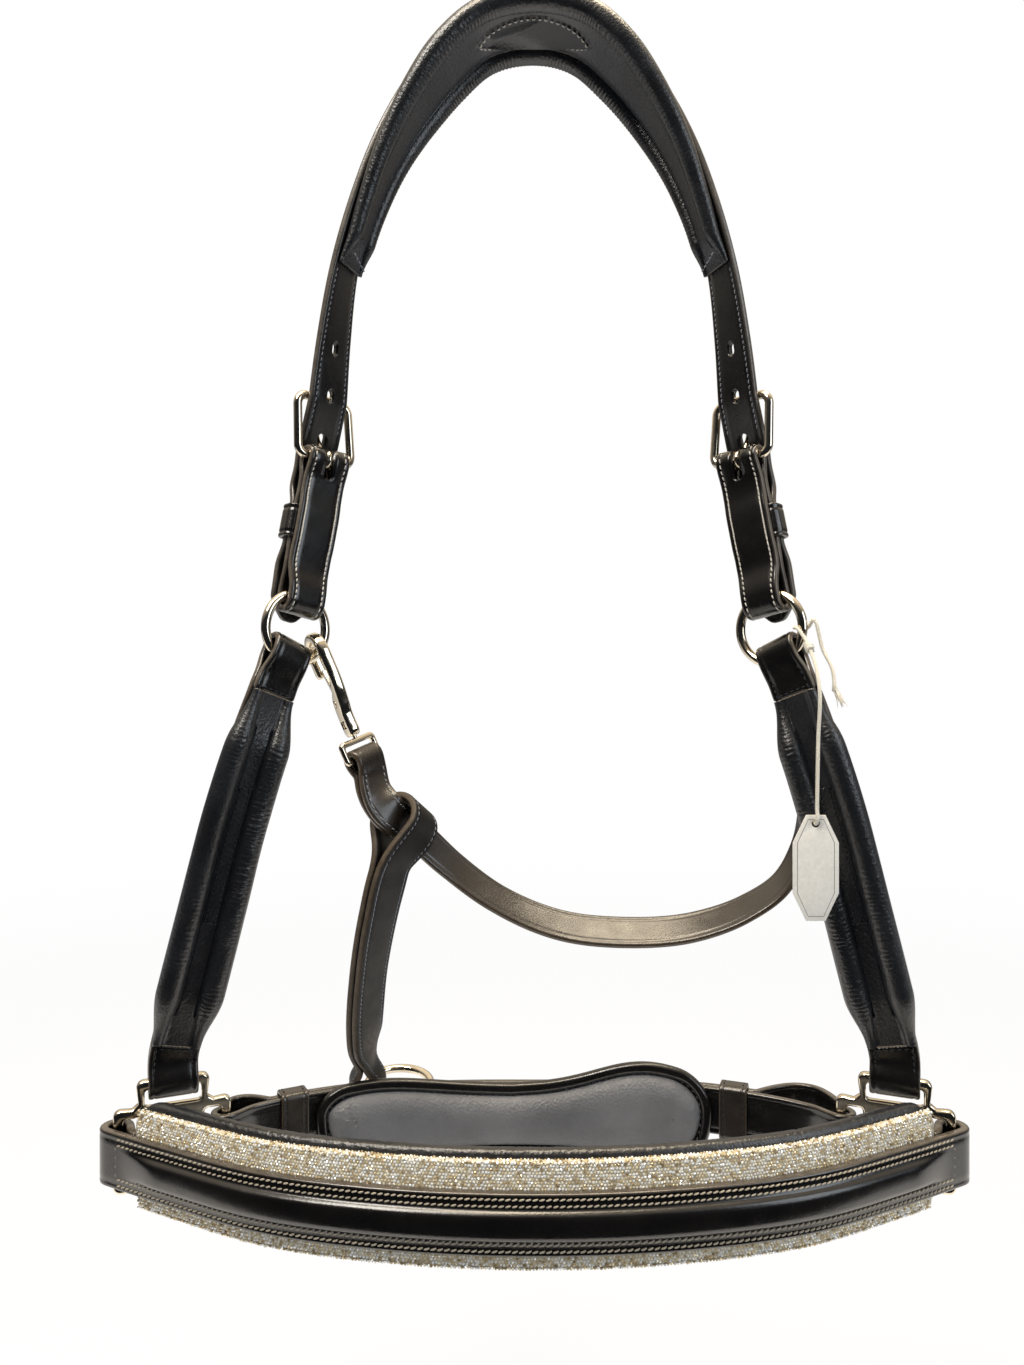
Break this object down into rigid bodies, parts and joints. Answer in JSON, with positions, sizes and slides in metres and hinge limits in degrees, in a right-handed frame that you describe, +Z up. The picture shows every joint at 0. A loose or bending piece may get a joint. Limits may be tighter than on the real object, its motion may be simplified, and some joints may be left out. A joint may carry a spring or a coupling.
{
  "type": "halter",
  "caption": "Leather show halter with padded crown and cheeks, crystal noseband, padded chin strap, throatlash with snap, and a hang tag.",
  "frame": {"origin": "underside of the crown where it rests on the poll, midway between the cheeks", "axes": "+Z up along the hanging halter, -Y towards the horse's nose, +X towards the viewer's right from the front"},
  "size_m": [0.3412, 0.1361, 0.4829],
  "materials": {
    "black_leather": "smooth, glossy",
    "soft_nappa": "soft, grained",
    "crystal_fabric": "set with small crystals",
    "grey_pad": "soft, grained",
    "polished_metal": "polished",
    "tag_card": "matt card",
    "cotton_string": "twisted cotton"
  },
  "bodies": {
    "crown": {"crown_strap": "black_leather", "crown_padding": "soft_nappa", "left_buckle_strap": "black_leather", "right_buckle_strap": "black_leather", "left_keeper": "black_leather", "right_keeper": "black_leather"},
    "left_buckle": {"left_buckle_frame": "polished_metal"},
    "right_buckle": {"right_buckle_frame": "polished_metal"},
    "left_tongue": {"left_buckle_tongue": "polished_metal"},
    "right_tongue": {"right_buckle_tongue": "polished_metal"},
    "left_ring": {"left_upper_ring": "polished_metal"},
    "right_ring": {"right_upper_ring": "polished_metal"},
    "cheeks": {"left_cheek_strap": "black_leather", "right_cheek_strap": "black_leather", "left_cheek_padding": "soft_nappa", "right_cheek_padding": "soft_nappa", "throatlash": "black_leather", "snap_eye": "polished_metal"},
    "snap": {"snap_hook": "polished_metal", "snap_rivet": "polished_metal"},
    "gate": {"snap_gate": "polished_metal"},
    "noseband": {"left_fitting": "polished_metal", "right_fitting": "polished_metal", "noseband_strap": "black_leather", "noseband_base": "crystal_fabric", "noseband_lining": "soft_nappa", "chin_strap": "black_leather", "chin_pad": "grey_pad", "chin_pad_backing": "black_leather", "chin_ring_hanger": "black_leather"},
    "left_chin_loop": {"left_chin_keeper": "black_leather"},
    "right_chin_loop": {"right_chin_keeper": "black_leather"},
    "lead_ring": {"chin_ring": "polished_metal"},
    "throat": {"throat_strap": "black_leather"},
    "string": {"tag_string": "cotton_string"},
    "tag": {"tag_card": "tag_card"}
  },
  "joints": [
    {"name": "left_buckle_hinge", "type": "hinge", "parent": "crown", "child": "left_buckle", "pos_m": [-0.08662, 0.00989, -0.17442], "axis": [-0.6966, -0.711, 0.0961], "range_deg": [0, 3]},
    {"name": "right_buckle_hinge", "type": "hinge", "parent": "crown", "child": "right_buckle", "pos_m": [0.08662, 0.00989, -0.17442], "axis": [-0.6966, 0.711, -0.0961], "range_deg": [0, 3]},
    {"name": "left_tongue_hinge", "type": "hinge", "parent": "left_buckle", "child": "left_tongue", "pos_m": [-0.08662, 0.00989, -0.17442], "axis": [-0.6966, -0.711, 0.0961], "range_deg": [0, 3]},
    {"name": "right_tongue_hinge", "type": "hinge", "parent": "right_buckle", "child": "right_tongue", "pos_m": [0.08662, 0.00989, -0.17442], "axis": [-0.6966, 0.711, -0.0961], "range_deg": [0, 3]},
    {"name": "left_ring_turn", "type": "hinge", "parent": "crown", "child": "left_ring", "pos_m": [-0.0965, 0, -0.245], "axis": [-0.7071, 0.7071, 0], "continuous": true},
    {"name": "right_ring_turn", "type": "hinge", "parent": "crown", "child": "right_ring", "pos_m": [0.0965, 0, -0.245], "axis": [0.7071, 0.7071, 0], "continuous": true},
    {"name": "cheek_swing", "type": "hinge", "parent": "crown", "child": "cheeks", "pos_m": [0, -0.004, -0.2579], "axis": [1, 0, 0], "range_deg": [-5, 5]},
    {"name": "snap_swivel", "type": "hinge", "parent": "cheeks", "child": "snap", "pos_m": [-0.07399, 0.0066, -0.28891], "axis": [0.3981, 0, -0.9173], "range_deg": [-8, 8]},
    {"name": "gate_hinge", "type": "hinge", "parent": "snap", "child": "gate", "pos_m": [-0.07966, 0.00625, -0.27534], "axis": [0.7982, 0.4928, 0.3465], "range_deg": [0, 20], "stiffness_Nm_per_rad": 0.001, "springref_deg": -11.46},
    {"name": "noseband_tilt", "type": "hinge", "parent": "cheeks", "child": "noseband", "pos_m": [0, -0.006, -0.4265], "axis": [1, 0, 0], "range_deg": [0, 3.5]},
    {"name": "left_chin_loop_slide", "type": "slide", "parent": "noseband", "child": "left_chin_loop", "axis": [-0.8907, -0.4547, 0], "range_m": [-0.0025, 0.0025]},
    {"name": "right_chin_loop_slide", "type": "slide", "parent": "noseband", "child": "right_chin_loop", "axis": [0.9367, -0.3501, 0], "range_m": [-0.0025, 0.0025]},
    {"name": "lead_ring_hinge", "type": "hinge", "parent": "noseband", "child": "lead_ring", "pos_m": [-0.05806, 0.03606, -0.4515], "axis": [0.9905, 0.1377, 0], "range_deg": [-2, 4]},
    {"name": "throat_slide", "type": "slide", "parent": "cheeks", "child": "throat", "axis": [0, 0.3981, 0.9173], "range_m": [0, 0.0038]},
    {"name": "string_swing", "type": "hinge", "parent": "crown", "child": "string", "pos_m": [0.10647, -0.00997, -0.2452], "axis": [1, 0, 0], "range_deg": [-6, 0]},
    {"name": "tag_swing", "type": "hinge", "parent": "string", "child": "tag", "pos_m": [0.1058, -0.029, -0.3202], "axis": [1, 0, 0], "range_deg": [-5, 5]}
  ],
  "couplings": [
    {"joint": "throat_slide", "follows": "noseband_tilt", "m_per_rad": 0.059}
  ]
}
